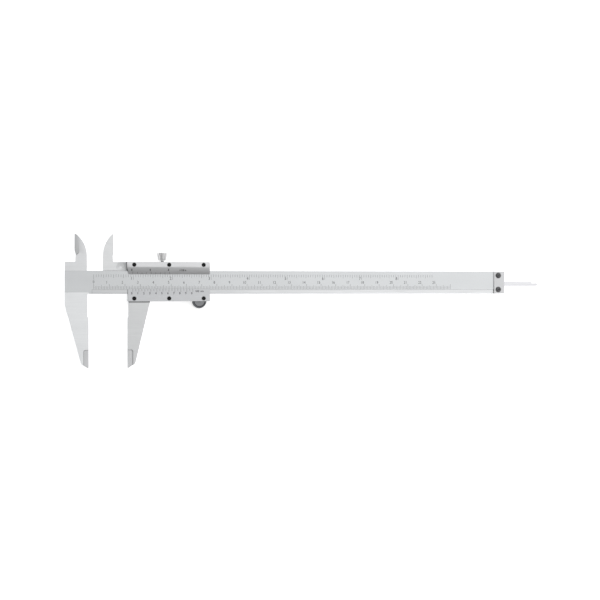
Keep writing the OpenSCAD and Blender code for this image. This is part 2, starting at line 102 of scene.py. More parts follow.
class Tree:
    """A node tree with short calls for adding and joining nodes."""

    def __init__(self, tree: bpy.types.NodeTree) -> None:
        """Keeps the tree that the calls work on."""
        self.tree = tree

    def add(self, kind: str, **settings: object) -> bpy.types.Node:
        """Adds a node.

        Args:
            kind: The node's type, without its "ShaderNode" prefix.
            settings: Properties of the node, by name.

        Returns:
            The new node.
        """
        prefix = "" if kind.startswith("NodeGroup") else "ShaderNode"
        node = self.tree.nodes.new(prefix + kind)
        for name, value in settings.items():
            setattr(node, name, value)
        return node

    def feed(self, node: bpy.types.Node, **values: object) -> bpy.types.Node:
        """Fills a node's inputs.

        Args:
            node: The node.
            values: Numbers, colours or output sockets, by input name with "_" for " ",
                or by position as "i0", "i1" and so on.

        Returns:
            The same node.
        """
        for name, value in values.items():
            by_position = name[0] == "i" and name[1:].isdigit()
            socket = node.inputs[int(name[1:]) if by_position else name.replace("_", " ")]
            if isinstance(value, Socket):
                self.tree.links.new(value, socket)
            else:
                socket.default_value = value
        return node

    def maths(self, operation: str, *values: object, clamp: bool = False) -> Socket:
        """Adds a Math node.

        Args:
            operation: The node's operation.
            values: Numbers or sockets for its inputs, in order.
            clamp: Whether the result is kept between 0 and 1.

        Returns:
            The node's output.
        """
        node = self.add("Math", operation=operation, use_clamp=clamp)
        self.feed(node, **{f"i{n}": value for n, value in enumerate(values)})
        return node.outputs[0]

    def noise(self, frequency: tuple[float, ...], detail: float) -> Socket:
        """Adds a noise texture on object coordinates.

        Args:
            frequency: Cycles per metre along X, Y and Z.
            detail: Octaves of finer noise.

        Returns:
            The noise's value, from 0 to 1.
        """
        where = self.add("TexCoord").outputs["Object"]
        mapping = self.feed(self.add("Mapping"), Vector=where, Scale=frequency)
        node = self.add("TexNoise")
        self.feed(node, Vector=mapping.outputs[0], Scale=1.0, Detail=detail, Roughness=0.55)
        return node.outputs["Fac"]

    def spread(self, value: Socket, source: Span, result: Span = (0.0, 1.0)) -> Socket:
        """Maps one range of values onto another, clamped.

        Args:
            value: The socket that is read.
            source: The range that is read.
            result: The range that it becomes.

        Returns:
            The mapped value.
        """
        node = self.add("MapRange", clamp=True)
        self.feed(node, i0=value, i1=source[0], i2=source[1], i3=result[0], i4=result[1])
        return node.outputs[0]

    def blend(self, factor: object, first: object, second: object) -> Socket:
        """Mixes two colours.

        Args:
            factor: Share of the second colour.
            first: The first colour or socket.
            second: The second colour or socket.

        Returns:
            The mixed colour.
        """
        node = self.add("Mix", data_type="RGBA")
        self.feed(node, i0=factor, i6=first, i7=second)
        return node.outputs[2]


def start_group(
    name: str, inputs: dict[str, float], outputs: Iterable[str]
) -> tuple[Tree, bpy.types.Node, bpy.types.Node]:
    """Starts a shader node group with number inputs and outputs.

    Args:
        name: The group's name.
        inputs: Each input's name and usual value.
        outputs: The names of the outputs.

    Returns:
        The group's tree, its input node and its output node.
    """
    group = bpy.data.node_groups.new(name, "ShaderNodeTree")
    number = "NodeSocketFloat"
    for label, usual in inputs.items():
        socket = group.interface.new_socket(name=label, in_out="INPUT", socket_type=number)
        socket.default_value = usual
    for label in outputs:
        group.interface.new_socket(name=label, in_out="OUTPUT", socket_type=number)
    tree = Tree(group)
    return tree, tree.add("NodeGroupInput"), tree.add("NodeGroupOutput")


@cache
def grain_group(grain: Grain) -> bpy.types.NodeTree:
    """Makes, once, the group that draws grinding lines or matt blasting.

    Args:
        grain: The direction of the lines.

    Returns:
        The group, with outputs Lines, Cloud and Height.
    """
    coarseness, fine_share, cloud_cycles = 0.23, 0.65, (26.0, 60.0, 60.0)
    name = f"grain_{grain.name.lower()}"
    tree, _, result = start_group(name, {}, ("Lines", "Cloud", "Height"))
    fine = tree.noise(grain.value, 3.0)
    coarse = tree.noise(tuple(cycles * coarseness for cycles in grain.value), 2.0)
    cloud = tree.noise(cloud_cycles, 3.0)
    fine = tree.maths("MULTIPLY", fine, fine_share)
    coarse = tree.maths("MULTIPLY", coarse, 1.0 - fine_share)
    lines = tree.maths("ADD", fine, coarse)
    tree.feed(result, Lines=tree.spread(lines, (0.32, 0.68)))
    tree.feed(result, Cloud=tree.spread(cloud, (0.3, 0.7)))
    tree.feed(result, Height=lines)
    return tree.tree


@cache
def edge_group() -> bpy.types.NodeTree:
    """Makes, once, the group that finds worn edges.

    Returns:
        The group, with the input Radius in metres and the output Edge.
    """
    tree, given, result = start_group("edge_wear", {"Radius": 0.00025}, ("Edge",))
    rounded = tree.feed(tree.add("Bevel", samples=6), Radius=given.outputs["Radius"])
    turn = tree.add("VectorMath", operation="DOT_PRODUCT")
    tree.feed(turn, i0=rounded.outputs[0], i1=tree.add("NewGeometry").outputs["Normal"])
    worn = tree.spread(turn.outputs["Value"], (0.99, 0.82))
    patches = tree.spread(tree.noise((420.0, 420.0, 420.0), 2.0), (0.35, 0.6), (0.25, 1.0))
    tree.feed(result, Edge=tree.maths("MULTIPLY", worn, patches))
    return tree.tree


@cache
def corner_shade_group() -> bpy.types.NodeTree:
    """Makes, once, the group that finds inner corners, to paint shade into them.

    Returns:
        The group, with the input Reach in metres and one output for the painted shade.
    """
    tree, given, result = start_group("painted_corner_shade", {"Reach": 0.0006}, ("Dirt",))
    shade = tree.feed(tree.add("AmbientOcclusion", samples=8), Distance=given.outputs["Reach"])
    tree.feed(result, Dirt=tree.spread(shade.outputs["AO"], (0.92, 0.58)))
    return tree.tree


@cache
def speck_group() -> bpy.types.NodeTree:
    """Makes, once, the group that scatters small handling marks.

    Returns:
        The group, with the input Amount and the output Mark.
    """
    tree, given, result = start_group("handling_marks", {"Amount": 1.0}, ("Mark",))
    bent = tree.noise((900.0, 260.0, 900.0), 4.0)
    sparse = tree.noise((70.0, 70.0, 70.0), 2.0)
    strokes, zones = tree.spread(bent, (0.64, 0.72)), tree.spread(sparse, (0.5, 0.62))
    marks = tree.maths("MULTIPLY", strokes, zones)
    tree.feed(result, Mark=tree.maths("MULTIPLY", marks, given.outputs["Amount"]))
    return tree.tree


# ---------- finishes ----------


# painted shade: the colour that darkens inner corners, where ambient occlusion finds them
PAINTED_SHADE_COLOUR: Colour = (0.03, 0.03, 0.028)
CLOUD_SHARE = 0.5  # how far the clouds darken a finish
MARK_ROUGHNESS = 0.12  # what a handling mark adds to the roughness
GRAIN_HEIGHT = 0.00004  # of the grinding lines, in metres


@dataclass(frozen=True)
class Finish:
    """A metal or painted finish: grain, cloudiness, worn edges, handling marks, painted corner
    shade.
    """

    name: str
    colour: Colour
    shade: float = 0.94
    metallic: float = 1.0
    roughness: float = 0.34
    spread: float = 0.08
    grain: Grain = Grain.ALONG_X
    depth: float = 0.25
    edge_colour: Colour = (0.9, 0.9, 0.9)
    edge: float = 0.5
    marks: float = 0.35
    # how far the painted shade darkens inner corners
    dirt: float = 0.75
    specular: float = 0.5

    def material(self) -> bpy.types.Material:
        """Makes the material once and gives it back."""
        if self.name in bpy.data.materials:
            return bpy.data.materials[self.name]
        made = bpy.data.materials.new(self.name)
        made.use_nodes = True
        made.node_tree.nodes.clear()
        tree = Tree(made.node_tree)
        grain = tree.add("Group", node_tree=grain_group(self.grain))
        edge = tree.add("Group", node_tree=edge_group())
        marks = tree.add("Group", node_tree=speck_group())
        corner = tree.add("Group", node_tree=corner_shade_group())
        tree.feed(marks, Amount=self.marks)
        light = (*self.colour, 1.0)
        dark = (*(c * self.shade for c in self.colour), 1.0)
        deeper = (*(c * self.shade * self.shade for c in self.colour), 1.0)
        base = tree.blend(grain.outputs["Lines"], dark, light)
        cloudy = tree.maths("MULTIPLY", grain.outputs["Cloud"], CLOUD_SHARE)
        base = tree.blend(cloudy, base, deeper)
        base = tree.blend(marks.outputs["Mark"], base, dark)
        worn = tree.maths("MULTIPLY", edge.outputs["Edge"], self.edge)
        base = tree.blend(worn, base, (*self.edge_colour, 1.0))
        # painted shade: inner corners darkened by ambient occlusion
        shade_share = tree.maths("MULTIPLY", corner.outputs["Dirt"], self.dirt)
        base = tree.blend(shade_share, base, (*PAINTED_SHADE_COLOUR, 1.0))
        low, high = self.roughness - self.spread, self.roughness + self.spread
        rough = tree.spread(grain.outputs["Lines"], (0.0, 1.0), (high, low))
        matter = tree.maths("MULTIPLY", marks.outputs["Mark"], MARK_ROUGHNESS)
        rough = tree.maths("ADD", rough, matter, clamp=True)
        bump = tree.add("Bump")
        height = grain.outputs["Height"]
        tree.feed(bump, Strength=self.depth, Distance=GRAIN_HEIGHT, Height=height)
        shader = tree.add("BsdfPrincipled")
        tree.feed(shader, Base_Color=base, Roughness=rough, Normal=bump.outputs[0])
        tree.feed(shader, Metallic=self.metallic, Specular_IOR_Level=self.specular)
        out = tree.add("OutputMaterial")
        tree.feed(out, Surface=shader.outputs[0])
        return made


HEAD = Finish("ground_head_steel", (0.81, 0.82, 0.83), roughness=0.4)
JAW = Finish("ground_jaw_steel", (0.87, 0.885, 0.895), roughness=0.38)
STRIP = Finish("ground_beam_strip", (0.69, 0.70, 0.71), roughness=0.36)
TIP = Finish("lapped_tip_steel", (0.64, 0.645, 0.655), grain=Grain.ALONG_Y, edge=0.2)
ARM = Finish("ground_arm_steel", (0.82, 0.83, 0.835), roughness=0.4, dirt=0.1)
DISH = Finish("ground_dish_steel", (0.92, 0.93, 0.935), roughness=0.7, dirt=0.0)
# painted shadow: dark strips on the jaw under the metric plate and on the arm beside the plates'
# left ends
ROOT = Finish("painted_shadow_strip", (0.38, 0.385, 0.39), roughness=0.42, edge=0.0)
# painted shade: the vernier plates' left-facing ends, near black
PAINTED_SHADE_END = Finish("painted_shade_plate_end", (0.05, 0.05, 0.052), roughness=0.5, edge=0.0)
FRAME = Finish("ground_slider_steel", (0.72, 0.73, 0.735), roughness=0.4)
ROD = Finish("ground_rod_steel", (0.68, 0.68, 0.70), roughness=0.3)
STOP = Finish(
    "satin_stop_plate",
    (0.655, 0.66, 0.67),
    roughness=0.42,
    spread=0.05,
    grain=Grain.MATT,
    depth=0.3,
)
METRIC_PLATE = replace(STOP, name="satin_metric_plate", colour=(0.655, 0.665, 0.68), edge=0.35)
INCH_PLATE = replace(
    METRIC_PLATE, name="satin_inch_plate", colour=(0.785, 0.79, 0.80), roughness=0.4
)
# painted shade: the inch plate's bevel, the same metal as the plate, coloured darker
INCH_BEVEL = replace(
    INCH_PLATE,
    name="inch_bevel_painted_shade",
    colour=(0.70, 0.705, 0.715),
    roughness=0.36,
    spread=0.04,
)
SATIN = replace(
    INCH_PLATE,
    name="satin_scale_face",
    colour=(0.70, 0.715, 0.725),
    depth=0.35,
    edge=0.3,
    dirt=0.1,
)
STOP_END = Finish(
    "blasted_stop_end",
    (0.94, 0.94, 0.95),
    metallic=0.2,
    roughness=0.62,
    grain=Grain.MATT,
    dirt=0.1,
)
OXIDE = Finish(
    "oxide_screw_steel",
    (0.004, 0.004, 0.0045),
    shade=0.7,
    metallic=0.0,
    roughness=0.42,
    grain=Grain.MATT,
    depth=0.4,
    edge_colour=(0.07, 0.07, 0.075),
    specular=0.2,
)
STOP_OXIDE = replace(
    OXIDE,
    name="grey_oxide",
    colour=(0.16, 0.16, 0.165),
    metallic=0.6,
    roughness=0.38,
    edge_colour=(0.4, 0.4, 0.41),
    edge=0.7,
    specular=0.5,
)
BRONZE = Finish(
    "phosphor_bronze", (0.62, 0.40, 0.20), roughness=0.38, edge_colour=(0.8, 0.6, 0.36)
)
NICKEL = Finish(
    "nickel_plate",
    (0.98, 0.98, 0.98),
    roughness=0.32,
    spread=0.05,
    grain=Grain.ALONG_Y,
    depth=0.15,
    dirt=0.3,
)
BLUED = Finish(
    "dark_roller_steel",
    (0.15, 0.155, 0.165),
    shade=0.75,
    roughness=0.36,
    grain=Grain.ALONG_Z,
    edge_colour=(0.38, 0.39, 0.4),
    edge=0.6,
)
SPRING = Finish(
    "rolled_bracket_steel",
    (0.25, 0.254, 0.262),
    roughness=0.33,
    edge_colour=(0.5, 0.5, 0.51),
    edge=0.06,
)
INK = Finish(
    "scale_ink",
    (0.08, 0.08, 0.085),
    shade=0.8,
    metallic=0.0,
    roughness=0.6,
    grain=Grain.MATT,
    depth=0.3,
    edge=0.0,
    marks=0.2,
    dirt=0.0,
)


# ---------- meshes ----------


def merged(node: str) -> Mesh:
    """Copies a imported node, joins its loose triangles and clears the lines across flats.

    Args:
        node: The node's name.

    Returns:
        The joined copy.
    """
    gap, flat_turn = 2e-6, math.radians(0.3)
    mesh = bmesh.new()
    mesh.from_mesh(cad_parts[node].data)
    bmesh.ops.remove_doubles(mesh, verts=mesh.verts[:], dist=gap)
    verts, edges = mesh.verts[:], mesh.edges[:]
    bmesh.ops.dissolve_limit(mesh, angle_limit=flat_turn, verts=verts, edges=edges)
    return mesh


def depth_from(edge: Edge, face: Face) -> float:
    """Says how far a face reaches away from one of its edges.

    Args:
        edge: The edge.
        face: A face on that edge.

    Returns:
        The largest distance from the edge's line, in metres.
    """
    start = edge.verts[0].co
    along = (edge.verts[1].co - start).normalized()
    across = face.normal.cross(along)
    return max(abs((v.co - start).dot(across)) for v in face.verts)


def break_edges(mesh: Mesh, width: float) -> None:
    """Rounds the sharp edges whose two faces have room for it.

    Args:
        mesh: The mesh to change.
        width: Width of the rounding, in millimetres.
    """
    sharp_turn = math.radians(28.0)
    least_length = width * MM * 0.5
    least_depth = width * MM * 2.1
    chosen = [
        edge
        for edge in mesh.edges
        if edge.is_manifold
        and edge.calc_face_angle(0.0) > sharp_turn
        and edge.calc_length() > least_length
        and min(depth_from(edge, face) for face in edge.link_faces) > least_depth
    ]
    bmesh.ops.bevel(
        mesh,
        geom=chosen,
        offset=width * MM,
        offset_type="OFFSET",
        segments=2,
        profile=0.5,
        affect="EDGES",
        clamp_overlap=False,
        material=-1,
    )
    bmesh.ops.remove_doubles(mesh, verts=mesh.verts[:], dist=WELD)


@dataclass
class Piece:
    """One visible piece: its name, the body that it rides on and what it stands for."""

    name: str
    body: str
    slot: str
    replaces: tuple[str, ...] = ()

    def finish(
        self,
        mesh: Mesh,
        *finishes: Finish,
        smooth: float = 38.0,
        recalculate: bool = False,
    ) -> None:
        """Turns a bmesh into the finished object, riding on its body.

        Args:
            mesh: The shape, in metres and in place. It is freed.
            finishes: The finishes, in the order of the faces' material numbers.
            smooth: Faces that meet under this angle, in degrees, are shaded as one.
            recalculate: Whether the faces are turned outwards first.
        """
        if recalculate:
            bmesh.ops.recalc_face_normals(mesh, faces=mesh.faces[:])
        data = bpy.data.meshes.new(self.name)
        mesh.to_mesh(data)
        mesh.free()
        data.shade_smooth()
        data.set_sharp_from_angle(angle=math.radians(smooth))
        for finish in finishes:
            data.materials.append(finish.material())
        made = bpy.data.objects.new(self.name, data)
        bpy.context.scene.collection.objects.link(made)
        flats = made.modifiers.new("even_flats", "WEIGHTED_NORMAL")
        flats.keep_sharp = True
        flats.weight = 80
        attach(made, self.body)
        if self.replaces:
            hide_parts(*self.replaces)
        LOG.info("%s: %d faces, on %s", self.name, len(data.polygons), self.body)


def part_off(mesh: Mesh, faces: list[Face], axis: Vector, level: float, number: int) -> None:
    """Cuts faces across, and gives the parts past the cut another material number.

    Args:
        mesh: The mesh to change.
        faces: The faces to cut.
        axis: The direction in which the level is measured.
        level: Where the cut is, in metres.
        number: The material number past the cut.
    """
    around = list({part for face in faces for part in (*face.verts, *face.edges)})
    cut = bmesh.ops.bisect_plane(mesh, geom=faces + around, plane_co=axis * level, plane_no=axis)
    for part in cut["geom"]:
        if isinstance(part, Face) and part.calc_center_median().dot(axis) > level:
            part.material_index = number


def copied_piece(name: str, body: str, slot: str, node: str, width: float, finish: Finish) -> None:
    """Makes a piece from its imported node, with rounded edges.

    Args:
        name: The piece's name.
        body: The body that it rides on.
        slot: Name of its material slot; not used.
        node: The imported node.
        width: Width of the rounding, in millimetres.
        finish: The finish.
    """
    mesh = merged(node)
    break_edges(mesh, width)
    Piece(name, body, slot, (node,)).finish(mesh, finish)


# ---------- graduations ----------


@dataclass
class ScaleFace:
    """A flat face with graduations, whose own x runs along the beam and y up the face."""

    origin: Vector
    tilt: float = 0.0
    proud: float = 0.008
    sunk: float = 0.03
    squeeze: float = 0.86
    mesh: Mesh = field(default_factory=bmesh.new)

    def place(self) -> Matrix:
        """Gives the face's place in the frame, from millimetres to metres."""
        turn = Matrix.Rotation(self.tilt, 4, "X")
        return Matrix.Translation(self.origin * MM) @ turn @ Matrix.Scale(MM, 4)

    def tick(self, x: float, low: float, high: float, width: float) -> None:
        """Adds one line across the scale.

        Args:
            x: The line's place along the scale.
            low: Where it starts up the face.
            high: Where it ends.
            width: Its width.
        """
        middle = Vector((x, (low + high) / 2, (self.proud - self.sunk) / 2))
        size = Vector((width, high - low, self.proud + self.sunk, 1.0))
        place = self.place() @ Matrix.Translation(middle) @ Matrix.Diagonal(size)
        bmesh.ops.create_cube(self.mesh, size=1.0, matrix=place)

    def write(self, text: str, x: float, y: float, height: float, weight: float = 0.0) -> None:
        """Adds lettering that is centred on a point.

        Args:
            text: The figures or unit.
            x: The centre along the scale.
            y: The centre up the face.
            height: Height of a figure.
            weight: Extra thickness of the strokes, as a share of the font's size.
        """
        curve = bpy.data.curves.new("lettering", "FONT")
        curve.body = text
        curve.align_x, curve.align_y = "CENTER", "CENTER"
        curve.size = 1.0
        curve.resolution_u = 3
        curve.extrude = 0.5
        curve.offset = weight
        holder = bpy.data.objects.new("lettering", curve)
        bpy.context.scene.collection.objects.link(holder)
        bpy.context.view_layer.update()
        shaped = holder.evaluated_get(bpy.context.evaluated_depsgraph_get())
        flat = bpy.data.meshes.new_from_object(shaped)
        bpy.data.objects.remove(holder)
        bpy.data.curves.remove(curve)
        heights = [v.co.y for v in flat.vertices]
        scale = height / (max(heights) - min(heights))
        middle = (max(heights) + min(heights)) / 2
        size = Matrix.Diagonal((scale * self.squeeze, scale, self.proud + self.sunk, 1.0))
        shift = Matrix.Translation((x, y - middle * scale, (self.proud - self.sunk) / 2))
        flat.transform(self.place() @ shift @ size)
        self.mesh.from_mesh(flat)
        bpy.data.meshes.remove(flat)

    def ink(self, name: str, body: str) -> None:
        """Makes an inked piece of what was drawn so far, and starts afresh.

        Args:
            name: The piece's name.
            body: The body that it rides on.
        """
        drawn, self.mesh = self.mesh, bmesh.new()
        bmesh.ops.remove_doubles(drawn, verts=drawn.verts[:], dist=WELD)
        Piece(name, body, "black_oxide").finish(drawn, INK, recalculate=True)


def line_end(number: int, steps: tuple[tuple[int, float], ...], usual: float) -> float:
    """Gives the end of a scale's line, which depends on the step that the line falls on.

    Args:
        number: The line's number from the zero.
        steps: Each step and the end of its lines, from the coarsest step down.
        usual: The end of all other lines.

    Returns:
        The line's end.
    """
    for step, end in steps:
        if number % step == 0:
            return end
    return usual


@dataclass
class MainScales:
    """The beam's millimetre and inch scales."""

    zero: float = 3.2
    length: int = 240
    line: float = 0.14
    foot: float = 3.0
    short: float = 5.0
    middle: float = 5.6
    tall: float = 6.4
    figure_y: float = 7.5
    figure_h: float = 1.8
    figure_back: float = 1.7
    zero_back: float = 0.1
    zero_up: float = 0.3
    inch_top: float = 12.6
    inch_short: float = 10.9
    inch_middle: float = 10.3
    inch_tall: float = 9.2
    inch_figure_y: float = 10.1
    inch_figure_h: float = 2.0
    inch_figure_back: float = 1.25
    sixteenths: int = 143

    def draw(self, corner: Vector) -> None:
        """Draws both scales on the beam's graduated face.

        Args:
            corner: Where the fixed measuring face's plane meets the beam's lower edge.
        """
        face = ScaleFace(corner + Vector((self.zero, 0.0, 0.0)))
        self.draw_metric(face)
        self.draw_inch(face)

    def draw_metric(self, face: ScaleFace) -> None:
        """Draws the millimetre lines and centimetre figures.

        Args:
            face: The graduated face, with its origin at the scales' zero.
        """
        for mm in range(self.length + 1):
            top = line_end(mm, ((10, self.tall), (5, self.middle)), self.short)
            face.tick(mm, self.foot, top, self.line)
        face.ink("millimetre_lines", "beam")
        for centimetre in range(1, self.length // 10):
            place = centimetre * 10 - self.figure_back
            face.write(str(centimetre), place, self.figure_y, self.figure_h)
        face.write("0", -self.zero_back, self.figure_y + self.zero_up, self.figure_h)
        face.ink("centimetre_figures", "beam")

    def draw_inch(self, face: ScaleFace) -> None:
        """Draws the lines of the sixteenths and the inch figures.

        Args:
            face: The graduated face, with its origin at the scales' zero.
        """
        for sixteenth in range(self.sixteenths + 1):
            steps = ((16, self.inch_tall), (4, self.inch_middle))
            low = line_end(sixteenth, steps, self.inch_short)
            face.tick(sixteenth * INCH / 16, low, self.inch_top, self.line)
        face.ink("inch_lines", "beam")
        for inch in range(1, self.sixteenths // 16 + 1):
            place = inch * INCH - self.inch_figure_back
            face.write(str(inch), place, self.inch_figure_y, self.inch_figure_h)
        face.ink("inch_figures", "beam")


@dataclass
class Verniers:
    """The two vernier scales on the slider's plates."""

    zero: float = 3.2
    line: float = 0.14
    edge_gap: float = 0.04
    figure_h: float = 1.5
    figure_back: float = 0.7
    print_h: float = 1.25
    weight: float = 0.03
    metric_parts: int = 20
    metric_span: float = 39.0
    metric_long: float = 1.95
    metric_short: float = 1.35
    metric_figure_down: float = 2.85
    metric_print_x: float = 46.7
    metric_print_down: float = 1.5
    inch_parts: int = 8
    inch_long: float = 1.7
    inch_short: float = 1.3
    inch_figure_step: int = 4
    inch_figure_y: float = 2.9
    inch_print_x: float = 35.6
    inch_print_y: float = 2.7

    def draw_metric(self, face: ScaleFace, edge_up: float) -> None:
        """Draws the metric vernier.

        Args:
            face: The lower plate's bevel, with its origin at the plate's left end.
            edge_up: How far up the face its graduated edge is.
        """
        step = self.metric_span / self.metric_parts
        for part in range(self.metric_parts + 1):
            length = line_end(part, ((2, self.metric_long),), self.metric_short)
            place = self.zero + part * step
            face.tick(place, edge_up - length, edge_up - self.edge_gap, self.line)
        face.ink("metric_vernier_lines", "slider")
        for figure in range(self.metric_parts // 2 + 1):
            place = self.zero - self.figure_back + 2 * figure * step
            up = edge_up - self.metric_figure_down
            face.write(str(figure % 10), place, up, self.figure_h, self.weight)
        up = edge_up - self.metric_print_down
        face.write("0.05  mm", self.metric_print_x, up, self.print_h, self.weight)
        face.ink("metric_vernier_figures", "slider")

    def draw_inch(self, face: ScaleFace) -> None:
        """Draws the inch vernier, whose parts each fall short of two sixteenths.

        Args:
            face: The upper plate's bevel, with its origin at the slider's left end.
        """
        step = (self.inch_parts * 2 - 1) * INCH / 16 / self.inch_parts
        for part in range(self.inch_parts + 1):
            length = line_end(part, ((self.inch_figure_step, self.inch_long),), self.inch_short)
            face.tick(self.zero + part * step, self.edge_gap, length, self.line)
        face.ink("inch_vernier_lines", "slider")
        for figure in range(0, self.inch_parts + 1, self.inch_figure_step):
            place = self.zero - self.figure_back + figure * step
            face.write(str(figure), place, self.inch_figure_y, self.figure_h, self.weight)
        face.write("1/128 in", self.inch_print_x, self.inch_print_y, self.print_h, self.weight)
        face.ink("inch_vernier_figures", "slider")


# ---------- sub-assemblies ----------


class BeamFace(IntEnum):
    """The beam's kinds of face, in the order of its finishes."""

    SIDE = 0
    BAND = 1
    STRIP = 2
    TIP = 3
    JAW = 4


class FrameFace(IntEnum):
    """The slider frame's kinds of face, in the order of its finishes."""

    SIDE = 0
    TIP = 1
    ARM = 2
    DISH = 3
    # faces that get the painted shadow
    ROOT = 4


class PlateFace(IntEnum):
    """A screwed-on plate's kinds of face, in the order of its finishes."""

    SIDE = 0
    END = 1
    BEVEL = 2


@dataclass(frozen=True)
class JawTip:
    """The thinned tip of an outer jaw."""

    front: float = 0.95
    top: float = -3.9

    def has(self, face: Face, centre: Vector) -> bool:
        """Says whether a face is one of the tip's two ground sides.

        Args:
            face: The face.
            centre: Its centre, in millimetres.

        Returns:
            Whether it is.
        """
        level = abs(centre.z) < self.front + LEVEL_SLACK
        return level and abs(face.normal.z) > SQUARE and centre.y < self.top


def left_end(face: Face) -> bool:
    """Says whether a face looks to the left, along -X."""
    return face.normal.x < -0.5


@dataclass
class Beam:
    """The beam with its fixed jaws, end stop, keeper plate and their screws."""

    edge: float = 0.12
    small_edge: float = 0.08
    band_front: float = 1.63
    strip_front: float = 1.48
    tip: JawTip = JawTip()
    jaw_top: float = 32.0
    jaw_right: float = 0.1

    def build(self) -> None:
        """Builds and dresses the beam's pieces."""
        self.body()
        stop = merged("end_stop_plate")
        for face in stop.faces:
            face.material_index = PlateFace.END if left_end(face) else PlateFace.SIDE
        break_edges(stop, self.edge)
        piece = Piece("end_stop", "beam", "plate_steel", ("end_stop_plate",))
        piece.finish(stop, STOP, STOP_END)
        edge, small = self.edge, self.small_edge
        copied_piece("rod_keeper", "beam", "plate_steel", "rod_keeper_plate", edge, STOP)
        copied_piece("stop_screws", "beam", "black_oxide", "end_stop_screws", small, STOP_OXIDE)
        low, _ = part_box("end_stop_plate")
        MainScales().draw(Vector((0.0, low.y / MM, self.band_front)))

    def face_kind(self, face: Face) -> BeamFace:
        """Tells the kinds of the beam's faces apart.

        Args:
            face: A face of the beam.

        Returns:
            Its kind.
        """
        centre = face.calc_center_median() / MM
        if self.tip.has(face, centre):
            return BeamFace.TIP
        if face.normal.z > SQUARE and abs(centre.z - self.strip_front) < LEVEL_SLACK:
            return BeamFace.STRIP
        if face.normal.z > SQUARE and abs(centre.z - self.band_front) < LEVEL_SLACK:
            return BeamFace.BAND
        if centre.y < self.jaw_top and centre.x < self.jaw_right:
            return BeamFace.JAW
        return BeamFace.SIDE

    def body(self) -> None:
        """Builds the beam in one piece with its jaws, with a finish for each kind of face."""
        mesh = merged("main_beam")
        for face in mesh.faces:
            face.material_index = self.face_kind(face)
        break_edges(mesh, self.edge)
        piece = Piece("beam_and_fixed_jaws", "beam", "satin_steel", ("main_beam",))
        piece.finish(mesh, HEAD, SATIN, STRIP, TIP, JAW)


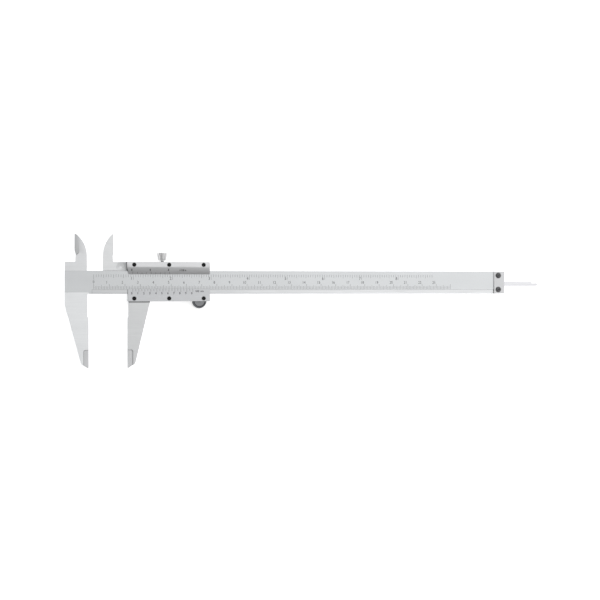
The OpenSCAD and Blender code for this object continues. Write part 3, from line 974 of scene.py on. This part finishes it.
@dataclass
class Slider:
    """The slider frame with its jaws, vernier plates, gib and screws."""

    edge: float = 0.12
    small_edge: float = 0.07
    plate_edge_z: float = 2.1
    metric_flat: float = 3.6
    inch_flat: float = 3.6
    tip: JawTip = JawTip()
    arm_foot: float = 47.2
    arm_right: float = 24.95
    arm_top: float = 53.0
    # root_h, root_reach and end_w size the strips of painted shadow beside the plates
    root_h: float = 0.95
    root_reach: float = 0.5
    end_w: float = 0.45
    front_lean: float = 0.05
    dish_lean: float = 0.995
    bevel_lean: float = 0.9

    def build(self) -> None:
        """Builds and dresses the slider's pieces."""
        self.body()
        self.plate("inch_plate", "inch_vernier_plate", INCH_PLATE, INCH_BEVEL)
        self.plate("metric_plate", "metric_vernier_plate", METRIC_PLATE, METRIC_PLATE)
        small = self.small_edge
        copied_piece("plate_screws", "slider", "black_oxide", "vernier_plate_screws", small, OXIDE)
        copied_piece("gib", "slider", "bronze", "gib_strip", small, BRONZE)
        copied_piece("set_screws", "slider", "black_oxide", "gib_set_screws", small, OXIDE)
        self.graduate()

    def face_kind(self, face: Face) -> FrameFace:
        """Tells the kinds of the frame's faces apart.

        Args:
            face: A face of the slider frame.

        Returns:
            Its kind.
        """
        centre = face.calc_center_median() / MM
        if centre.y > self.arm_foot and centre.x < self.arm_right:
            leans = self.front_lean < face.normal.z < self.dish_lean
            return FrameFace.DISH if leans and centre.y < self.arm_top else FrameFace.ARM
        return FrameFace.TIP if self.tip.has(face, centre) else FrameFace.SIDE

    def body(self) -> None:
        """Builds the frame in one piece with its jaws, with a finish for each kind of face."""
        mesh = merged("slider_frame")
        for face in mesh.faces:
            face.material_index = self.face_kind(face)
        self.part_dark_strips(mesh)
        break_edges(mesh, self.edge)
        piece = Piece("slider_body", "slider", "ground_steel", ("slider_frame",))
        piece.finish(mesh, FRAME, TIP, ARM, DISH, ROOT)

    def part_dark_strips(self, mesh: Mesh) -> None:
        """Parts off the strips of jaw and arm close beside the plates, which get a painted shadow.

        Args:
            mesh: The slider frame's mesh.
        """
        low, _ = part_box("metric_vernier_plate")
        level = low.y - self.root_h * MM
        jaw = [face for face in mesh.faces if self.meets_plate(face, low.y)]
        part_off(mesh, jaw, Vector((0.0, 1.0, 0.0)), level, FrameFace.ROOT)
        left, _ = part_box("inch_vernier_plate")
        level = left.x - self.end_w * MM
        kinds = (FrameFace.ARM, FrameFace.DISH)
        arm = [
            face
            for face in mesh.faces
            if face.material_index in kinds and face.normal.z > self.front_lean
        ]
        part_off(mesh, arm, Vector((1.0, 0.0, 0.0)), level, FrameFace.ROOT)

    def meets_plate(self, face: Face, plate_low: float) -> bool:
        """Says whether a face is the jaw's front, just under the metric plate.

        Args:
            face: A face of the slider frame.
            plate_low: The plate's lower edge, in metres.

        Returns:
            Whether it is.
        """
        if face.normal.z <= SQUARE or face.calc_center_median().y >= plate_low:
            return False
        return max(v.co.y for v in face.verts) > plate_low - self.root_reach * MM

    def plate(self, name: str, node: str, flat: Finish, bevel: Finish) -> None:
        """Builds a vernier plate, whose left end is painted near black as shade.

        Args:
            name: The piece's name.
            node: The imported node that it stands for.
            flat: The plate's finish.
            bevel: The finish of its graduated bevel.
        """
        mesh = merged(node)
        for face in mesh.faces:
            if self.bevel_lean < face.normal.z < SQUARE:
                face.material_index = PlateFace.BEVEL
            # the left-facing end takes the painted shade
            elif left_end(face):
                face.material_index = PlateFace.END
        break_edges(mesh, self.small_edge)
        Piece(name, "slider", "plate_steel", (node,)).finish(mesh, flat, PAINTED_SHADE_END, bevel)

    def graduate(self) -> None:
        """Draws the verniers on the plates' bevels."""
        verniers = Verniers()
        low, high = (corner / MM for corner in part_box("metric_vernier_plate"))
        left, foot = low.x, low.y + self.metric_flat
        run, rise = high.y - foot, high.z - self.plate_edge_z
        bevel = ScaleFace(Vector((left, foot, high.z)), -math.atan2(rise, run))
        verniers.draw_metric(bevel, math.hypot(run, rise))
        low, high = (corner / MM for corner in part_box("inch_vernier_plate"))
        run, rise = high.y - self.inch_flat - low.y, high.z - self.plate_edge_z
        bevel = ScaleFace(Vector((left, low.y, self.plate_edge_z)), math.atan2(rise, run))
        verniers.draw_inch(bevel)


@dataclass(frozen=True)
class Knurl:
    """A ring of straight teeth round an axis."""

    teeth: int
    depth: float
    steps: int = 4

    def ring(self, mesh: Mesh, radius: float, height: float) -> list[Vert]:
        """Adds a toothed ring of vertices round Z.

        Args:
            mesh: Where the ring goes.
            radius: Radius at the teeth's tops, in millimetres.
            height: Its place along Z, in millimetres.

        Returns:
            The ring's vertices, in order.
        """
        place = Matrix.Translation((0.0, 0.0, height * MM))
        count = self.teeth * self.steps
        made = bmesh.ops.create_circle(mesh, segments=count, radius=radius * MM, matrix=place)
        verts = made["verts"]
        scale = 1.0 - self.depth / radius
        roots = [v for n, v in enumerate(verts) if n % self.steps < self.steps // 2]
        bmesh.ops.scale(mesh, vec=(scale, scale, 1.0), verts=roots)
        return verts


def ring_edges(verts: Iterable[Vert]) -> list[Edge]:
    """Gives the edges that join a ring's own vertices.

    Args:
        verts: The ring's vertices.

    Returns:
        The edges between them.
    """
    members = set(verts)
    return list({e for v in members for e in v.link_edges if e.other_vert(v) in members})


def loft(mesh: Mesh, rings: list[list[Vert]]) -> None:
    """Joins rings with equal numbers of vertices into a skin, and closes its two ends.

    Args:
        mesh: The mesh that holds the rings.
        rings: The rings, from one end to the other.
    """
    edges = [ring_edges(ring) for ring in rings]
    for first, second in zip(edges, edges[1:]):
        bmesh.ops.bridge_loops(mesh, edges=first + second)
    bmesh.ops.contextual_create(mesh, geom=edges[0])
    bmesh.ops.contextual_create(mesh, geom=edges[-1])


def turned(profile: list[tuple[float, float]], steps: int) -> Mesh:
    """Turns a closed profile round Z.

    Args:
        profile: Radius and height of each corner, in millimetres.
        steps: Steps round the turn.

    Returns:
        The turned solid.
    """
    mesh = bmesh.new()
    verts = [mesh.verts.new((radius * MM, 0.0, height * MM)) for radius, height in profile]
    edges = [mesh.edges.new((a, b)) for a, b in zip(verts, verts[1:])]
    bmesh.ops.spin(
        mesh,
        geom=verts + edges,
        cent=(0.0, 0.0, 0.0),
        axis=(0.0, 0.0, 1.0),
        angle=math.tau,
        steps=steps,
        use_merge=True,
    )
    bmesh.ops.remove_doubles(mesh, verts=mesh.verts[:], dist=WELD)
    bmesh.ops.recalc_face_normals(mesh, faces=mesh.faces[:])
    return mesh


def join(first: Mesh, second: Mesh) -> None:
    """Puts one mesh's shape into another.

    Args:
        first: The mesh that is kept.
        second: The mesh that is copied in and freed.
    """
    carrier = bpy.data.meshes.new("carrier")
    second.to_mesh(carrier)
    second.free()
    first.from_mesh(carrier)
    bpy.data.meshes.remove(carrier)


@dataclass
class LockScrew:
    """The knurled screw that clamps the gib on the beam."""

    shank_r: float = 1.25
    thread_r: float = 1.08
    pitch: float = 0.45
    point_r: float = 0.756
    point_h: float = 0.25
    foot_r: float = 2.7
    foot_chamfer: float = 0.6
    root_h: float = 0.35
    tooth_proud: float = 0.02
    top_r: float = 3.35
    head_h: float = 5.2
    chamfer: float = 0.4
    rim: float = 0.5
    dish_in: float = 0.8
    dish: float = 0.25
    overlap: float = 0.3
    knurl: Knurl = Knurl(teeth=16, depth=0.38)

    def build(self) -> None:
        """Builds the screw upright, then lays it along Y in its hole."""
        low, high = (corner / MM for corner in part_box("lock_screw"))
        base = high.y - low.y - self.head_h
        mesh = self.head(base)
        join(mesh, self.shank(base))
        upright = Matrix.Rotation(math.radians(-90), 4, "X")
        foot = Vector(((low.x + high.x) / 2, low.y, (low.z + high.z) / 2)) * MM
        place = Matrix.Translation(foot) @ upright
        bmesh.ops.transform(mesh, matrix=place, verts=mesh.verts[:])
        piece = Piece("knurled_lock_screw", "lock_screw", "bright_nickel", ("lock_screw",))
        piece.finish(mesh, NICKEL, smooth=32.0, recalculate=True)

    def head(self, base: float) -> Mesh:
        """Builds the knurled head with its chamfers and dished top.

        Args:
            base: Height of the head's foot.

        Returns:
            The head.
        """
        mesh = bmesh.new()
        knurl, top = self.knurl, base + self.head_h
        smooth = Knurl(knurl.teeth, 0.0)
        crown_r = self.top_r - self.chamfer
        rings = [
            smooth.ring(mesh, self.foot_r - self.foot_chamfer, base),
            smooth.ring(mesh, self.foot_r - knurl.depth, base + self.root_h),
            knurl.ring(mesh, self.foot_r + self.tooth_proud, base + self.foot_chamfer),
            knurl.ring(mesh, self.top_r, top - self.chamfer),
            smooth.ring(mesh, crown_r, top),
            smooth.ring(mesh, crown_r - self.rim, top),
            smooth.ring(mesh, crown_r - self.dish_in, top - self.dish),
        ]
        loft(mesh, rings)
        return mesh

    def shank(self, base: float) -> Mesh:
        """Builds the threaded shank, as rings of thread that reach into the head.

        Args:
            base: Height of the head's foot.

        Returns:
            The shank.
        """
        profile = [(0.0, 0.0), (self.point_r, 0.0), (self.thread_r, self.point_h)]
        height = self.point_h
        while height + self.pitch < base:
            profile.append((self.shank_r, height + self.pitch / 2))
            profile.append((self.thread_r, height + self.pitch))
            height += self.pitch
        profile += [(self.thread_r, base + self.overlap), (0.0, base + self.overlap)]
        return turned(profile, steps=32)


@dataclass
class ThumbRoller:
    """The knurled roller with its pin, bracket and bracket screw."""

    radius: float = 4.75
    chamfer: float = 0.32
    recess_r: float = 3.5
    recess: float = 0.12
    recess_in: float = 0.3
    knurl: Knurl = Knurl(teeth=52, depth=0.22)
    edge: float = 0.05

    def build(self) -> None:
        """Builds and dresses the roller and what holds it."""
        low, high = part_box("thumb_roller")
        mesh = self.wheel((high.z - low.z) / 2 / MM)
        bmesh.ops.translate(mesh, vec=(low + high) / 2, verts=mesh.verts[:])
        piece = Piece("knurled_roller", "thumb_roller", "blued_steel", ("thumb_roller",))
        piece.finish(mesh, BLUED, smooth=30.0, recalculate=True)
        edge = self.edge
        copied_piece("pin", "slider", "spring_steel", "roller_pin", edge, SPRING)
        copied_piece("bracket", "slider", "spring_steel", "roller_bracket", edge, SPRING)
        copied_piece("bracket_screw", "slider", "black_oxide", "roller_bracket_screw", edge, OXIDE)

    def wheel(self, half: float) -> Mesh:
        """Builds the roller with its teeth, chamfers and recessed faces.

        Args:
            half: Half of its width.

        Returns:
            The roller, with its middle at the origin.
        """
        mesh = bmesh.new()
        smooth = Knurl(self.knurl.teeth, 0.0)
        rim_r = self.radius - self.chamfer
        rings = [
            smooth.ring(mesh, self.recess_r - self.recess_in, self.recess - half),
            smooth.ring(mesh, self.recess_r, -half),
            smooth.ring(mesh, rim_r, -half),
            self.knurl.ring(mesh, self.radius, self.chamfer - half),
            self.knurl.ring(mesh, self.radius, half - self.chamfer),
            smooth.ring(mesh, rim_r, half),
            smooth.ring(mesh, self.recess_r, half),
            smooth.ring(mesh, self.recess_r - self.recess_in, half - self.recess),
        ]
        loft(mesh, rings)
        return mesh


@dataclass
class DepthRod:
    """The depth rod and the rivets that hold it on the slider."""

    edge: float = 0.12

    def build(self) -> None:
        """Builds and dresses the rod and its rivets."""
        copied_piece("rod", "slider", "ground_steel", "depth_rod", self.edge, ROD)
        copied_piece("rivets", "slider", "ground_steel", "depth_rod_rivets", self.edge, FRAME)


# ---------- studio ----------


@dataclass
class SoftLight:
    """A large soft lamp, aimed at a point."""

    name: str
    place: tuple[float, float, float]
    size: tuple[float, float]
    watts: float

    def hang(self, target: Vector) -> None:
        """Hangs the lamp and turns it to the target.

        Args:
            target: The point that it faces, in metres.
        """
        lamp = bpy.data.lights.new(self.name, "AREA")
        lamp.shape = "RECTANGLE"
        lamp.size, lamp.size_y = self.size
        lamp.energy = self.watts
        made = bpy.data.objects.new(self.name, lamp)
        made.location = self.place
        aim = target - made.location
        made.rotation_euler = aim.to_track_quat("-Z", "Y").to_euler()
        made.visible_camera = False
        bpy.context.scene.collection.objects.link(made)


@dataclass
class Studio:
    """The pale floor, the soft light and the camera. The floor's size is in metres."""

    floor_size: float = 8.0
    floor_gap: float = 0.05
    yaw: float = 11.59
    distance: float = 900.0
    lens: float = 81.14
    target_x: float = 139.18
    target_y: float = 37.41
    shift: float = -0.02373
    right_glow: Ramp = ((0.03, 0.27), (0.83, 1.78))
    left_fall: Ramp = ((-0.8, 0.03), (0.8, 1.0))
    right_fall: Ramp = ((0.29, 0.42), (1.0, 0.8))
    far_fall: Ramp = ((0.1, 0.5), (1.0, 0.62))
    low_fall: Ramp = ((0.0, 0.75), (0.58, 1.0))
    flag_top: Ramp = ((-0.48, -0.1), (0.04, 1.0))
    flag_foot: Ramp = ((-0.74, -0.58), (0.8, 0.0))

    def build(self) -> None:
        """Builds floor, sky, lamps and camera."""
        scene = bpy.context.scene
        scene.view_settings.view_transform = "Standard"
        scene.view_settings.look = "None"
        self.floor()
        self.sky()
        softbox = SoftLight("far_softbox", place=(0.15, 1.5, 0.9), size=(1.6, 0.7), watts=4.0)
        softbox.hang((MODEL_BOX[0] + MODEL_BOX[1]) / 2)
        self.camera()

    def floor(self) -> None:
        """Lays the pale floor just under the caliper."""
        mesh = bmesh.new()
        level = MODEL_BOX[0].z - self.floor_gap * MM
        place = Matrix.Translation((0.0, 0.0, level))
        half = self.floor_size / 2
        bmesh.ops.create_grid(mesh, x_segments=1, y_segments=1, size=half, matrix=place)
        data = bpy.data.meshes.new("floor")
        mesh.to_mesh(data)
        mesh.free()
        made = bpy.data.materials.new("pale_floor")
        made.use_nodes = True
        tree, shader = Tree(made.node_tree), made.node_tree.nodes["Principled BSDF"]
        tree.feed(shader, Base_Color=(0.95, 0.95, 0.95, 1.0), Roughness=0.9)
        tree.feed(shader, Emission_Color=(1.0, 1.0, 1.0, 1.0), Emission_Strength=0.6)
        data.materials.append(made)
        floor = bpy.data.objects.new("floor", data)
        bpy.context.scene.collection.objects.link(floor)

    def sky(self) -> None:
        """Lights the room with a soft gradient, with a dark flag low on the near side."""
        world = bpy.data.worlds.new("studio_room")
        bpy.context.scene.world = world
        world.use_nodes = True
        world.node_tree.nodes.clear()
        tree = Tree(world.node_tree)
        direction = tree.add("SeparateXYZ")
        tree.feed(direction, i0=tree.add("TexCoord").outputs["Generated"])
        across, along, up = direction.outputs
        level = tree.spread(across, *self.right_glow)
        for way, ramp in (
            (across, self.left_fall),
            (across, self.right_fall),
            (along, self.far_fall),
            (up, self.low_fall),
        ):
            level = tree.maths("MULTIPLY", level, tree.spread(way, *ramp))
        above, under = tree.spread(along, *self.flag_top), tree.spread(along, *self.flag_foot)
        level = tree.maths("MULTIPLY", level, tree.maths("MAXIMUM", above, under))
        sky = tree.feed(tree.add("Background"), Color=(1.0, 1.0, 1.0, 1.0), Strength=level)
        tree.feed(tree.add("OutputWorld"), Surface=sky.outputs[0])

    def camera(self) -> None:
        """Sets the camera above the scale, a little to the left."""
        lens = bpy.data.cameras.new("camera")
        lens.lens = self.lens
        lens.sensor_width = 36.0
        lens.shift_y = self.shift
        lens.clip_start, lens.clip_end = 0.01, 50.0
        made = bpy.data.objects.new("camera", lens)
        turn = Matrix.Rotation(math.radians(-self.yaw), 4, "Y")
        back = turn @ Vector((0.0, 0.0, self.distance))
        made.location = (Vector((self.target_x, self.target_y, 0.0)) + back) * MM
        made.rotation_euler = turn.to_euler()
        bpy.context.scene.collection.objects.link(made)
        bpy.context.scene.camera = made


def main() -> None:
    """Builds the caliper and the studio, in order."""
    logging.basicConfig(level=logging.INFO, format="%(name)s: %(message)s")
    for assembly in (Studio(), Beam(), Slider(), LockScrew(), ThumbRoller(), DepthRod()):
        LOG.info("building %s", type(assembly).__name__)
        assembly.build()


if __name__ == "__main__":
    main()
